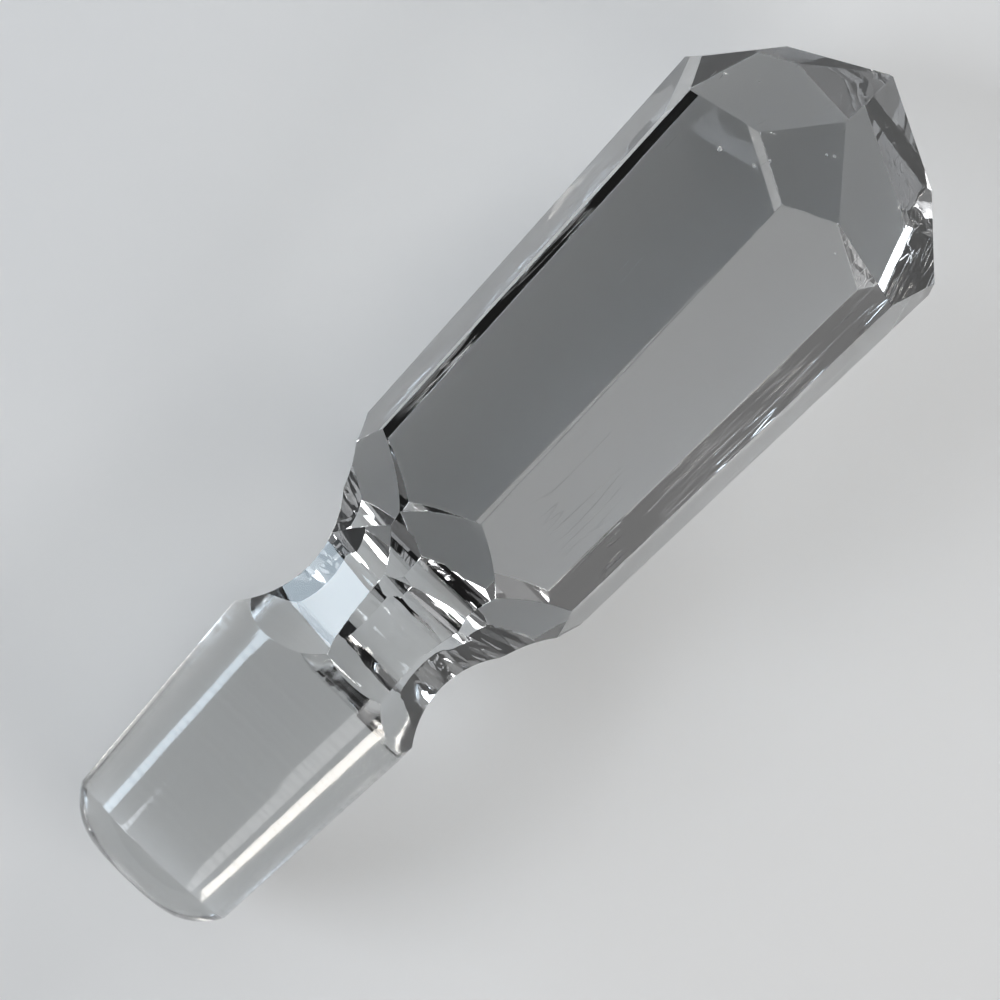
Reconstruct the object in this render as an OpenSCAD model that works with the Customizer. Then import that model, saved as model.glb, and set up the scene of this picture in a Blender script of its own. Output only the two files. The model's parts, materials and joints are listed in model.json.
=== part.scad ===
// Stopper of solid cut glass, one piece: a ground tapered plug with a polished round end,
// a neck of hollow flutes, a seven-sided handle that widens upwards, and a faceted crown.
// It was cut by hand, so no two panels, flutes or facets match exactly.
// It lies on one panel of the handle, as it comes to rest on a table, with its crown towards +X.

/* [Plug] */
// Radius at the wide upper end of the ground plug
plug_r = 11.1; // [9:0.05:13.5]
// Length of the ground taper
plug_l = 23; // [16:0.1:30]
// Radius that the ground taper loses for each millimetre of its length
taper = 0.068; // [0.04:0.002:0.1]
// Length of the polished round end below the ground taper
end_l = 3.6; // [2.5:0.1:4.2]
// Radius of the flat on the very end, as a share of the radius above it
end_flat_share = 0.38; // [0.25:0.01:0.45]

/* [Neck] */
// Distance from the axis to the face of a flute at the waist
waist_r = 8.2; // [6.5:0.05:8.6]
// Height of the waist above the top of the ground taper
waist_rise = 7.3; // [6:0.1:9]
// Height above the waist where the shoulder's hollows are deepest
hollow_rise = 3; // [2.5:0.1:4]
// Height from the waist to the points of the shoulder, where the edges of the handle start
shoulder_rise = 14.3; // [11.5:0.1:17.5]

/* [Handle] */
// Distance from the axis to a panel at the middle of the handle
panel_r = 14.2; // [13.5:0.05:17.5]
// Height from the waist to the middle of the handle
handle_rise = 33.1; // [27:0.1:40]
// Angle at which the panels lean outwards towards the crown
panel_lean = 2.3; // [0.5:0.1:3.5]

/* [Crown] */
// Height from the middle of the handle to the points of the crown facets
crown_rise = 24; // [19:0.1:30]
// Angle of the crown facets from the axis
crown_lean = 43; // [38:1:48]
// Height of the crown above its points, as a share of its radius there
crown_share = 0.975; // [0.9:0.005:1]

/* [Hand cutting] */
// How far the cuts stray from even: 0 is perfectly even, 1 is as cut
stray = 1; // [0:0.1:1.2]

/* [Hidden] */

sides = 7;
step = 360 / sides;

// how far each cut strays from even, counted round the axis from the panel that it rests on:
// turns and tilts in degrees, distances outwards and upwards in millimetres,
// and growth of a wheel as a share of its radius
panel_turn = [0, -3.5, -8, -7, -1, -2, -2.5];
panel_out = [0.1, 0.3, 0.2, -0.3, -0.4, 0.4, 0];
panel_tilt = [0, 0, 0, 0.5, -0.5, 0, 0];
flute_turn = 6;
flute_up = [0, 0, 0, 0.9, 0.3, 0, 0];
flute_grow = [0, 0, 0, -0.3, -0.07, 0, 0];
shoulder_turn = [-1, -6, -9, -4, 2, -5, 1];
shoulder_out = [0, 0, 0, 0, 0, 0.8, 0];
crown_turn = [3, 12, 5, -1, -15, -12, 4];
crown_up = [3, 2.6, 0.4, -1.5, -1.4, 3.6, -0.4];
crown_tilt = [-1, -3, 9, 1, 7, -2, -7];

// how far the flutes bite into the plug below its upper edge
flute_bite = 0.3;
// how far the shoulder's wheels stay outside the ridges of the neck
ridge_margin = 0.5;
// how far the uncut blank stands outside the edges of the crown
blank_margin = 3;

// heights above the plug's lower end
plug_top_z = end_l + plug_l;
waist_z = plug_top_z + waist_rise;
middle_z = waist_z + handle_rise;
crown_z = middle_z + crown_rise;

// the polished end is an arc from the flat to the foot of the ground taper
plug_tip_r = plug_r - plug_l * taper;
end_flat_r = end_flat_share * plug_tip_r;
end_round_r = (pow(plug_tip_r - end_flat_r, 2) + pow(end_l, 2)) / (2 * end_l);

// a flute's wheel passes through the waist and leaves the plug just below its upper edge
flute_reach = waist_rise + flute_bite;
flute_wheel_r = (pow(plug_r - waist_r, 2) + pow(flute_reach, 2)) / (2 * (plug_r - waist_r));

// a shoulder's wheel passes outside the ridges of the neck and through a point of the shoulder
hollow_r = waist_r / cos(step / 2) + ridge_margin;
hollow_z = waist_z + hollow_rise;
point_r = (panel_r - (handle_rise - shoulder_rise) * tan(panel_lean)) / cos(step / 2);
point_rise = shoulder_rise - hollow_rise;
shoulder_wheel_r = (pow(point_r - hollow_r, 2) + pow(point_rise, 2)) / (2 * (point_r - hollow_r));

crown_r = (panel_r + crown_rise * tan(panel_lean)) / cos(step / 2);
top_z = crown_z + crown_share * crown_r;
blank_r = crown_r + blank_margin;
blank_foot_z = waist_z + flute_wheel_r / 2;
big = 3 * top_z;

// everything outside a plane that stands r from the axis at height z and leans by lean
module outside(turn, r, z, lean) {
    rotate(turn)
        translate([r, 0, z])
            rotate([0, lean, 0])
                translate([0, -big / 2, -big / 2])
                    cube(big);
}

// a cutting wheel laid across the neck, with its rim r from the axis at height z
module wheel(turn, r, z, wheel_r) {
    rotate(turn)
        translate([r + wheel_r, 0, z])
            rotate([90, 0, 0])
                cylinder(r = wheel_r, h = 2 * blank_r, center = true, $fn = 180);
}

module blank() {
    rotate_extrude($fn = 180) {
        square([end_flat_r, end_l]);
        intersection() {
            translate([end_flat_r, end_round_r]) circle(r = end_round_r, $fn = 180);
            square([plug_tip_r, end_l]);
        }
        polygon([
            [0, end_l],
            [plug_tip_r, end_l],
            [plug_r, plug_top_z],
            [plug_r, waist_z],
            [blank_r, blank_foot_z],
            [blank_r, top_z],
            [0, top_z]
        ]);
    }
}

module flute_cut(i) {
    wheel(180 + (i + 0.5) * step + stray * flute_turn, waist_r,
          waist_z + stray * flute_up[i], flute_wheel_r * (1 + stray * flute_grow[i]));
}

module shoulder_cuts() {
    for (i = [0 : sides - 1])
        wheel(180 + (i + 0.5) * step + stray * shoulder_turn[i],
              hollow_r + stray * shoulder_out[i], hollow_z, shoulder_wheel_r);
}

module panel_cuts() {
    for (i = [0 : sides - 1])
        outside(180 + i * step + stray * panel_turn[i], panel_r + stray * panel_out[i],
                middle_z, panel_lean + stray * panel_tilt[i]);
}

module crown_cuts() {
    for (i = [0 : sides - 1])
        outside(180 + (i + 0.5) * step + stray * crown_turn[i], crown_r,
                crown_z + stray * crown_up[i], -crown_lean - stray * crown_tilt[i]);
}

// the handle's flats are ground first, then the crown, the shoulders and the neck
module flat_sided() {
    difference() {
        blank();
        panel_cuts();
    }
}

module crowned() {
    difference() {
        flat_sided();
        crown_cuts();
    }
}

module shouldered() {
    difference() {
        crowned();
        shoulder_cuts();
    }
}

// the stopper with its first flutes cut, one after another
module fluted(count) {
    if (count == 0)
        shouldered();
    else
        difference() {
            fluted(count - 1);
            flute_cut(count - 1);
        }
}

// laid with its resting panel flat on z = 0 and the middle of that panel at the origin
module stopper() {
    color("lightcyan")
        rotate([0, -panel_lean, 0])
            translate([-middle_z, 0, panel_r + stray * panel_out[0]])
                rotate([180, 0, 0])
                    rotate([0, 90, 0])
                        fluted(sides);
}

stopper();
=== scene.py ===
"""Looks of a cut-glass decanter stopper: its glass, its air seeds, and the studio it lies in.

Lengths are in metres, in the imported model's frame: +X runs from the plug to the crown and +Z up.
Heights are measured along the stopper's axis, from the lower end of its plug.
"""

from __future__ import annotations

import json
import logging
import math
from dataclasses import dataclass

import bmesh
import bpy
import numpy as np
from mathutils import Matrix, Vector

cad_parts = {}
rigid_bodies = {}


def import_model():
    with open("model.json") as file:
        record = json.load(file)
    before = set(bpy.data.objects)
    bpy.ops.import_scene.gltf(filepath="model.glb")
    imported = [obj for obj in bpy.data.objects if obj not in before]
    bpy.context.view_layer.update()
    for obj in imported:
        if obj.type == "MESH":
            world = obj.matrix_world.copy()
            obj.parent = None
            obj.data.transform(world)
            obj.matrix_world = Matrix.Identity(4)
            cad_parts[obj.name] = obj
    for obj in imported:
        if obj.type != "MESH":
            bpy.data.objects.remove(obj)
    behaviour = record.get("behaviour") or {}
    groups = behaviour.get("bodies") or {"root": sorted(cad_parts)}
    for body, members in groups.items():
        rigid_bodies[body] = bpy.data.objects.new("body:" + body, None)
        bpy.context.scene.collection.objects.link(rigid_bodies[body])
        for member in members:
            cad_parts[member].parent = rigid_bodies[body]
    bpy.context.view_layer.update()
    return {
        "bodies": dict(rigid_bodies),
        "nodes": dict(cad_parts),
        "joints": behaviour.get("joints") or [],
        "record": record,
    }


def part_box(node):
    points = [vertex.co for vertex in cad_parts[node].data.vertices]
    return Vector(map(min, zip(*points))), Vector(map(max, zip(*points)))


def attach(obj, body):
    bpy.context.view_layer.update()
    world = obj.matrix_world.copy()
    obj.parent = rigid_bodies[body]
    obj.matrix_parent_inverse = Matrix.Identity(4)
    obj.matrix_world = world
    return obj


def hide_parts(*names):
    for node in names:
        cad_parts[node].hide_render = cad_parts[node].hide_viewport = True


MM = 0.001
NODE = "stopper"
BODY = "root"
LOG = logging.getLogger("stopper")

# the plug's mount is midway up its ground taper
MOUNT_HEIGHT = 15.1 * MM
CRYSTAL_IOR = 1.545

Colour = tuple[float, float, float, float]


def linear(hex_code: str) -> Colour:
    """Turns an sRGB hex colour to the linear values that shaders take.

    Args:
        hex_code: a # and six hex digits.

    Returns:
        Linear red, green and blue, and an alpha of 1.
    """
    srgb = [int(hex_code[i : i + 2], 16) / 255 for i in (1, 3, 5)]
    red, green, blue = (
        c / 12.92 if c <= 0.04045 else ((c + 0.055) / 1.055) ** 2.4 for c in srgb
    )
    return red, green, blue, 1.0


class Graph:
    """A material's node tree, cleared, with one way to add a node."""

    def __init__(self, name: str) -> None:
        """Makes the material.

        Args:
            name: the material's name.
        """
        self.material = bpy.data.materials.new(name)
        self.material.use_nodes = True
        self.tree = self.material.node_tree
        self.tree.nodes.clear()

    def add(
        self, kind: str, settings: dict | None = None, links: dict | None = None
    ) -> bpy.types.Node:
        """Adds one node, sets its properties and sockets, and links its inputs.

        Args:
            kind: the node's type name.
            settings: property names, or input socket names or numbers, to values.
            links: input socket names or numbers to the output sockets that feed them.

        Returns:
            The new node.
        """
        node = self.tree.nodes.new(kind)
        for key, value in (settings or {}).items():
            if isinstance(key, int) or key in node.inputs:
                node.inputs[key].default_value = value
            else:
                setattr(node, key, value)
        for key, socket in (links or {}).items():
            self.tree.links.new(socket, node.inputs[key])
        return node


@dataclass(frozen=True)
class Layout:
    """Main places on the stopper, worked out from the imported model's box and mounts."""

    low: Vector
    high: Vector
    plug_middle: Vector
    along: Vector

    @classmethod
    def from_frame(cls, frame: dict) -> Layout:
        """Reads the stopper's box and its plug mount.


        Returns:
            The layout.
        """
        low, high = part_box(NODE)
        plug = next(m for m in frame["record"]["mounts"] if m["name"] == "ground_plug")
        return cls(low, high, Vector(plug["pos_m"]), -Vector(plug["axis"]).normalized())

    @property
    def tip(self) -> Vector:
        """Point on the axis at the plug's lower end."""
        return self.plug_middle - self.along * MOUNT_HEIGHT

    @property
    def centre(self) -> Vector:
        """Middle of the stopper's box."""
        return (self.low + self.high) / 2

    @property
    def upward(self) -> Vector:
        """Direction square to the axis and nearest to straight up."""
        return Vector((-self.along.z, 0.0, self.along.x))

    def on_axis(self, height: float) -> Vector:
        """Point on the axis at a height above the plug's lower end."""
        return self.tip + self.along * height


@dataclass(frozen=True)
class LeadCrystal:
    """Lead crystal, cut on a wheel and felt-polished, with a finely ground plug.

    The polish gives clear refraction and bright edges, with a slight waver left by the felt. The
    glass is faintly grey where light goes a long way through it, and the handle has thin
    scratches. The ground plug is hazier, with rings round it from the grinding. Real rings and
    scratches are too fine to show, so both are drawn coarser.
    """

    tint: str = "#F7F9F9"
    ior: float = CRYSTAL_IOR
    polished: float = 0.012
    ground: float = 0.085
    smoke: str = "#B9B8BA"
    smoke_density: float = 15.0
    end_height: float = 3.6 * MM
    ground_top: float = 26.6 * MM
    flute_top: float = 29.5 * MM
    tip_radius: float = 9.54 * MM
    top_radius: float = 11.1 * MM
    # how far outside the ground cone the skin is where the haze starts, and where it is full
    cone_start: float = -0.14 * MM
    cone_full: float = -0.06 * MM
    # how far the haze takes to come in above the round end, and to go below the flutes
    end_fade: float = 0.15 * MM
    flute_fade: float = 0.2 * MM
    # where the rings' noise is clearest and haziest, and its shares of the ground roughness
    ring_spacing: float = 0.55 * MM
    ring_low: float = 0.38
    ring_high: float = 0.62
    clear_share: float = 0.2
    hazy_share: float = 1.8
    waver_size: float = 9.0 * MM
    waver_depth: float = 0.036 * MM
    waver_detail: float = 0.4
    # noise cells per metre, and how near its middle value the noise is at a scratch's edges
    # and along its core
    scratch_cells: tuple[float, float, float] = (70.0, 1100.0, 500.0)
    scratch_turn: float = math.radians(38)
    scratch_edge: float = 0.022
    scratch_core: float = 0.005
    scratch_depth: float = 0.006 * MM
    scratch_roughness: float = 0.22
    # the slow noise at which a patch of scratches starts, and where it is full
    patch_low: float = 0.53
    patch_high: float = 0.64
    handle_start: float = 50.0 * MM
    handle_fade: float = 4 * MM

    def build(self, layout: Layout) -> bpy.types.Material:
        """Makes the material.

        Args:
            layout: places on the stopper, for where the ground plug and the handle are.

        Returns:
            The material.
        """
        graph = Graph("lead_crystal_cut_and_felt_polished")
        place = graph.add("ShaderNodeTexCoord").outputs["Object"]
        tip = layout.tip
        from_tip = graph.add(
            "ShaderNodeVectorMath", {"operation": "SUBTRACT", 1: tip}, {0: place}
        ).outputs[0]
        height = graph.add(
            "ShaderNodeVectorMath", {"operation": "DOT_PRODUCT", 1: layout.along}, {0: from_tip}
        ).outputs["Value"]
        cone = graph.add(
            "ShaderNodeMapRange",
            {1: self.end_height, 2: self.ground_top, 3: self.tip_radius, 4: self.top_radius},
            {0: height},
        ).outputs[0]
        sideways = graph.add(
            "ShaderNodeVectorMath", {"operation": "CROSS_PRODUCT", 1: layout.along}, {0: from_tip}
        ).outputs[0]
        radius = graph.add(
            "ShaderNodeVectorMath", {"operation": "LENGTH"}, {0: sideways}
        ).outputs["Value"]
        proud = graph.add(
            "ShaderNodeMath", {"operation": "SUBTRACT"}, {0: radius, 1: cone}
        ).outputs[0]
        on_cone = graph.add(
            "ShaderNodeMapRange", {1: self.cone_start, 2: self.cone_full}, {0: proud}
        ).outputs[0]
        above_end = graph.add(
            "ShaderNodeMapRange",
            {1: self.end_height, 2: self.end_height + self.end_fade},
            {0: height},
        ).outputs[0]
        below_flutes = graph.add(
            "ShaderNodeMapRange",
            {1: self.flute_top, 2: self.flute_top - self.flute_fade},
            {0: height},
        ).outputs[0]
        low = graph.add(
            "ShaderNodeMath", {"operation": "MULTIPLY"}, {0: above_end, 1: below_flutes}
        ).outputs[0]
        ground = graph.add(
            "ShaderNodeMath", {"operation": "MULTIPLY"}, {0: low, 1: on_cone}
        ).outputs[0]

        rings = graph.add(
            "ShaderNodeTexNoise",
            {"noise_dimensions": "1D", "Scale": 1 / self.ring_spacing, "Detail": 1.0},
            {"W": height},
        ).outputs["Fac"]
        haze = graph.add(
            "ShaderNodeMapRange",
            {
                1: self.ring_low,
                2: self.ring_high,
                3: self.ground * self.clear_share,
                4: self.ground * self.hazy_share,
            },
            {0: rings},
        ).outputs[0]
        waver = graph.add(
            "ShaderNodeTexNoise",
            {"Scale": 1 / self.waver_size, "Detail": 1.0, "Roughness": self.waver_detail},
            {"Vector": place},
        ).outputs["Fac"]
        on_handle = graph.add(
            "ShaderNodeMapRange",
            {1: self.handle_start, 2: self.handle_start + self.handle_fade},
            {0: height},
        ).outputs[0]
        scratches = self._scratches(graph, place, waver)
        scored = graph.add(
            "ShaderNodeMath", {"operation": "MULTIPLY"}, {0: scratches, 1: on_handle}
        ).outputs[0]
        polish = graph.add(
            "ShaderNodeMath",
            {"operation": "MULTIPLY_ADD", 1: self.scratch_roughness, 2: self.polished},
            {0: scored},
        ).outputs[0]
        roughness = graph.add(
            "ShaderNodeMix", {"data_type": "FLOAT"}, {0: ground, 2: polish, 3: haze}
        ).outputs[0]
        felt = graph.add(
            "ShaderNodeMath", {"operation": "MULTIPLY", 1: self.waver_depth}, {0: waver}
        ).outputs[0]
        surface = graph.add(
            "ShaderNodeMath",
            {"operation": "MULTIPLY_ADD", 1: -self.scratch_depth},
            {0: scored, 2: felt},
        ).outputs[0]
        normal = graph.add(
            "ShaderNodeBump", {"Strength": 1.0, "Distance": 1.0}, {"Height": surface}
        ).outputs[0]

        shader = graph.add(
            "ShaderNodeBsdfPrincipled",
            {"Base Color": linear(self.tint), "IOR": self.ior, "Transmission Weight": 1.0},
            {"Roughness": roughness, "Normal": normal},
        )
        smoke = graph.add(
            "ShaderNodeVolumeAbsorption",
            {"Color": linear(self.smoke), "Density": self.smoke_density},
        )
        graph.add(
            "ShaderNodeOutputMaterial",
            {},
            {"Surface": shader.outputs[0], "Volume": smoke.outputs[0]},
        )
        return graph.material

    def _scratches(
        self, graph: Graph, place: bpy.types.NodeSocket, patches: bpy.types.NodeSocket
    ) -> bpy.types.NodeSocket:
        """Thin scratches: noise drawn out one way, kept only where it is near its middle value.

        Args:
            graph: the material's tree.
            place: object coordinates.
            patches: slow noise; the scratches show only where it is high.

        Returns:
            A value that is 1 in a scratch and 0 outside it.
        """
        turned = graph.add(
            "ShaderNodeMapping",
            {"Rotation": (0.0, 0.0, self.scratch_turn), "Scale": self.scratch_cells},
            {"Vector": place},
        ).outputs[0]
        lines = graph.add(
            "ShaderNodeTexNoise", {"Scale": 1.0, "Detail": 0.0}, {"Vector": turned}
        ).outputs["Fac"]
        off_middle = graph.add(
            "ShaderNodeMath", {"operation": "SUBTRACT", 1: 0.5}, {0: lines}
        ).outputs[0]
        near = graph.add("ShaderNodeMath", {"operation": "ABSOLUTE"}, {0: off_middle}).outputs[0]
        thin = graph.add(
            "ShaderNodeMapRange", {1: self.scratch_edge, 2: self.scratch_core}, {0: near}
        ).outputs[0]
        here = graph.add(
            "ShaderNodeMapRange", {1: self.patch_low, 2: self.patch_high}, {0: patches}
        ).outputs[0]
        return graph.add("ShaderNodeMath", {"operation": "MULTIPLY"}, {0: thin, 1: here}).outputs[0]


@dataclass(frozen=True)
class AirInGlass:
    """Air trapped in crystal: its skin bends light the opposite way, so a seed glints white."""

    ior: float = 1 / CRYSTAL_IOR

    def build(self) -> bpy.types.Material:
        """Makes the material.

        Returns:
            The material.
        """
        graph = Graph("air_seed_in_lead_crystal")
        shader = graph.add(
            "ShaderNodeBsdfGlass", {"Color": linear("#FFFFFF"), "Roughness": 0.0, "IOR": self.ior}
        )
        graph.add("ShaderNodeOutputMaterial", {}, {"Surface": shader.outputs[0]})
        return graph.material


@dataclass(frozen=True)
class StudioPaper:
    """Seamless studio paper: plain, matte and pale."""

    colour: str = "#E6E6E6"
    roughness: float = 0.85
    gloss: float = 0.2

    def build(self) -> bpy.types.Material:
        """Makes the material.

        Returns:
            The material.
        """
        graph = Graph("matte_studio_paper")
        shader = graph.add(
            "ShaderNodeBsdfPrincipled",
            {
                "Base Color": linear(self.colour),
                "Roughness": self.roughness,
                "Specular IOR Level": self.gloss,
            },
        )
        graph.add("ShaderNodeOutputMaterial", {}, {"Surface": shader.outputs[0]})
        return graph.material


@dataclass
class CutGlass:
    """The solid glass itself, with its edges softened as polishing leaves them."""

    edge_width: float = 0.13 * MM
    edge_segments: int = 2
    smooth_angle: float = math.radians(11)
    flat_angle: float = math.radians(0.4)
    weld: float = 0.002 * MM

    def build(self, source: bpy.types.Object, finish: bpy.types.Material) -> bpy.types.Object:
        """Copies the CAD solid, welds its triangles, joins flat ones and rounds its edges.

        Args:
            source: the CAD node's object.
            finish: the glass.

        Returns:
            The finished piece, riding on its body.
        """
        mesh = source.data.copy()
        mesh.name = "cut_glass"
        solid = bmesh.new()
        solid.from_mesh(mesh)
        bmesh.ops.remove_doubles(solid, verts=solid.verts, dist=self.weld)
        bmesh.ops.dissolve_limit(
            solid,
            angle_limit=self.flat_angle,
            use_dissolve_boundaries=False,
            verts=solid.verts,
            edges=solid.edges,
        )
        bmesh.ops.recalc_face_normals(solid, faces=solid.faces)
        solid.to_mesh(mesh)
        solid.free()
        mesh.shade_smooth()
        mesh.set_sharp_from_angle(angle=self.smooth_angle)
        mesh.materials.clear()
        mesh.materials.append(finish)
        piece = bpy.data.objects.new("cut_glass", mesh)
        bpy.context.scene.collection.objects.link(piece)
        bevel = piece.modifiers.new("polished_edges", "BEVEL")
        bevel.width = self.edge_width
        bevel.segments = self.edge_segments
        bevel.limit_method = "ANGLE"
        bevel.angle_limit = self.smooth_angle
        bevel.harden_normals = True
        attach(piece, BODY)
        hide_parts(NODE)
        return piece


@dataclass(frozen=True)
class Seed:
    """One air seed, in millimetres.

    Its height is along the axis, right is from the axis towards -Y, and up is above the axis.
    """

    height: float
    right: float
    up: float
    width: float


@dataclass
class AirSeeds:
    """Tiny air bubbles left in the glass."""

    seeds: tuple[Seed, ...] = (
        Seed(89.6, -8.4, 9.5, 0.55),
        Seed(90.7, -4.8, 10.4, 0.4),
        Seed(96.0, -0.3, 7.2, 0.42),
        Seed(95.4, -0.9, 7.0, 0.3),
        Seed(94.9, -12.4, 2.0, 0.4),
        Seed(97.0, -9.8, 2.6, 0.26),
        Seed(90.2, 5.2, 9.0, 0.24),
    )
    rows: int = 10
    columns: int = 16

    def ball(self, centre: np.ndarray, radius: float) -> tuple[np.ndarray, np.ndarray]:
        """A sphere: centre plus radius times the direction at each latitude and longitude.

        Args:
            centre: its middle.
            radius: its radius.

        Returns:
            Points, with each pole once, and faces as rows of four indices, where a triangle at a
            pole repeats its last index.
        """
        latitude = np.linspace(-math.pi / 2, math.pi / 2, self.rows + 1)[1:-1, None]
        longitude = np.linspace(0, 2 * math.pi, self.columns, endpoint=False)[None, :]
        ring = np.stack(
            [
                np.cos(latitude) * np.cos(longitude),
                np.cos(latitude) * np.sin(longitude),
                np.sin(latitude) * np.ones_like(longitude),
            ],
            axis=-1,
        ).reshape(-1, 3)
        points = np.vstack([ring, [[0, 0, -1], [0, 0, 1]]]) * radius + centre
        here = np.arange(self.columns)
        after = (here + 1) % self.columns
        row = np.arange(self.rows - 2)[:, None] * self.columns
        walls = np.stack(
            [row + here, row + after, row + self.columns + after, row + self.columns + here], -1
        ).reshape(-1, 4)
        south, north, last = len(ring), len(ring) + 1, (self.rows - 2) * self.columns
        bottom = np.stack([np.full_like(here, south), after, here, here], -1)
        top = np.stack([np.full_like(here, north), last + here, last + after, last + after], -1)
        return points, np.vstack([walls, bottom, top])

    def build(self, layout: Layout, finish: bpy.types.Material) -> bpy.types.Object:
        """Makes every seed, in one mesh.

        Args:
            layout: places on the stopper.
            finish: the air.

        Returns:
            The finished piece, riding on its body.
        """
        balls = []
        for seed in self.seeds:
            offset = Vector((0, -seed.right, 0)) + layout.upward * seed.up
            place = layout.on_axis(seed.height * MM) + offset * MM
            balls.append(self.ball(np.array(place), seed.width * MM / 2))
        points = np.vstack([p for p, _ in balls])
        starts = np.cumsum([0] + [len(p) for p, _ in balls[:-1]])
        faces = np.vstack([f + s for (_, f), s in zip(balls, starts)])
        loops = [tuple(dict.fromkeys(face)) for face in faces.tolist()]
        mesh = bpy.data.meshes.new("air_seeds")
        mesh.from_pydata(points.tolist(), [], loops)
        mesh.validate()
        mesh.shade_smooth()
        mesh.materials.append(finish)
        piece = bpy.data.objects.new("air_seeds", mesh)
        bpy.context.scene.collection.objects.link(piece)
        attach(piece, BODY)
        return piece


@dataclass(frozen=True)
class Softbox:
    """A rectangular studio light that points at the stopper."""

    name: str
    place: tuple[float, float, float]
    width: float
    height: float
    watts: float
    colour: str

    def build(self, target: Vector) -> bpy.types.Object:
        """Makes the light.

        Args:
            target: what it points at.

        Returns:
            The light's object.
        """
        lamp = bpy.data.lights.new(self.name, "AREA")
        lamp.shape = "RECTANGLE"
        lamp.size, lamp.size_y = self.width, self.height
        lamp.energy = self.watts
        lamp.color = linear(self.colour)[:3]
        light = bpy.data.objects.new(self.name, lamp)
        bpy.context.scene.collection.objects.link(light)
        light.location = self.place
        light.rotation_euler = (target - light.location).to_track_quat("-Z", "Y").to_euler()
        return light


@dataclass
class Studio:
    """Pale floor, soft lights on both long sides and at the crown end, and a dim room."""

    floor_size: float = 6.0
    floor_gap: float = 0.01 * MM
    room: str = "#FFFFFF"
    room_strength: float = 0.22
    lights: tuple[Softbox, ...] = (
        Softbox("crown_end_softbox", (0.762, 0.0, 0.209), 0.36, 0.16, 3.8, "#FFFFFF"),
        Softbox("right_low_softbox", (0.0, -0.78, 0.12), 0.60, 0.20, 5.0, "#FFFAF2"),
        Softbox("right_softbox", (-0.014, -0.65, 0.485), 0.50, 0.30, 1.4, "#FFFFFF"),
        Softbox("left_softbox", (-0.514, 0.50, 0.39), 0.36, 0.40, 3.0, "#F2F8FF"),
        Softbox("left_low_softbox", (0.05, 0.78, 0.10), 0.80, 0.18, 4.0, "#DFF1FF"),
    )

    def build(self, layout: Layout, paper: bpy.types.Material) -> bpy.types.Object:
        """Makes the floor, the lights and the room.

        Args:
            layout: places on the stopper.
            paper: the floor's finish.

        Returns:
            The floor's object.
        """
        half = self.floor_size / 2
        corners = np.array([[-1, -1, 0], [1, -1, 0], [1, 1, 0], [-1, 1, 0]], float) * half
        corners[:, 2] = layout.low.z - self.floor_gap
        mesh = bpy.data.meshes.new("floor")
        mesh.from_pydata(corners.tolist(), [], [(0, 1, 2, 3)])
        mesh.materials.append(paper)
        floor = bpy.data.objects.new("floor", mesh)
        bpy.context.scene.collection.objects.link(floor)
        for light in self.lights:
            light.build(layout.centre)
        world = bpy.data.worlds.new("room")
        world.use_nodes = True
        bpy.context.scene.world = world
        background = world.node_tree.nodes["Background"]
        background.inputs["Color"].default_value = linear(self.room)
        background.inputs["Strength"].default_value = self.room_strength
        bpy.context.scene.view_settings.view_transform = "Standard"
        return floor


@dataclass
class TableCamera:
    """A camera that looks down on the stopper, which slants up to the right in its view."""

    distance: float = 0.70
    view_width: float = 96.5 * MM
    sensor: float = 36.0
    far_limit: float = 50.0
    aim_height: float = 51.08 * MM
    aim_right: float = 0.54 * MM
    lean: float = math.radians(6.4)
    slant: float = math.radians(45.85)

    def build(self, layout: Layout) -> bpy.types.Object:
        """Makes the camera and makes it the scene's.

        Its direction is the stopper's upward side turned by lean towards +Y. Its picture is turned
        until the axis runs at slant above its right-hand side.

        Args:
            layout: places on the stopper.

        Returns:
            The camera's object.
        """
        along, upward = layout.along, layout.upward
        side = Vector((0, 1, 0))
        back = (math.cos(self.lean) * upward + math.sin(self.lean) * side).normalized()
        across = along.cross(back).normalized()
        right = math.cos(self.slant) * along + math.sin(self.slant) * across
        up = math.sin(self.slant) * along - math.cos(self.slant) * across
        aim = layout.on_axis(self.aim_height) + across * self.aim_right
        data = bpy.data.cameras.new("table_camera")
        data.sensor_width = self.sensor
        data.lens = self.sensor * self.distance / self.view_width
        data.clip_end = self.far_limit
        camera = bpy.data.objects.new("table_camera", data)
        bpy.context.scene.collection.objects.link(camera)
        camera.location = aim + back * self.distance
        camera.rotation_euler = Matrix((right, up, back)).transposed().to_euler()
        bpy.context.scene.camera = camera
        return camera


def main() -> None:
    """Builds the stopper, its studio and its camera, in order."""
    logging.basicConfig(level=logging.INFO, format="%(name)s: %(message)s")
    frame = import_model()
    layout = Layout.from_frame(frame)
    glass = CutGlass().build(frame["nodes"][NODE], LeadCrystal().build(layout))
    LOG.info("%s: %d faces", glass.name, len(glass.data.polygons))
    seeds = AirSeeds().build(layout, AirInGlass().build())
    LOG.info("%s: %d faces", seeds.name, len(seeds.data.polygons))
    floor = Studio().build(layout, StudioPaper().build())
    LOG.info("%s and lights in place", floor.name)
    camera = TableCamera().build(layout)
    LOG.info("%s: lens %.0f mm", camera.name, camera.data.lens)


if __name__ == "__main__":
    main()
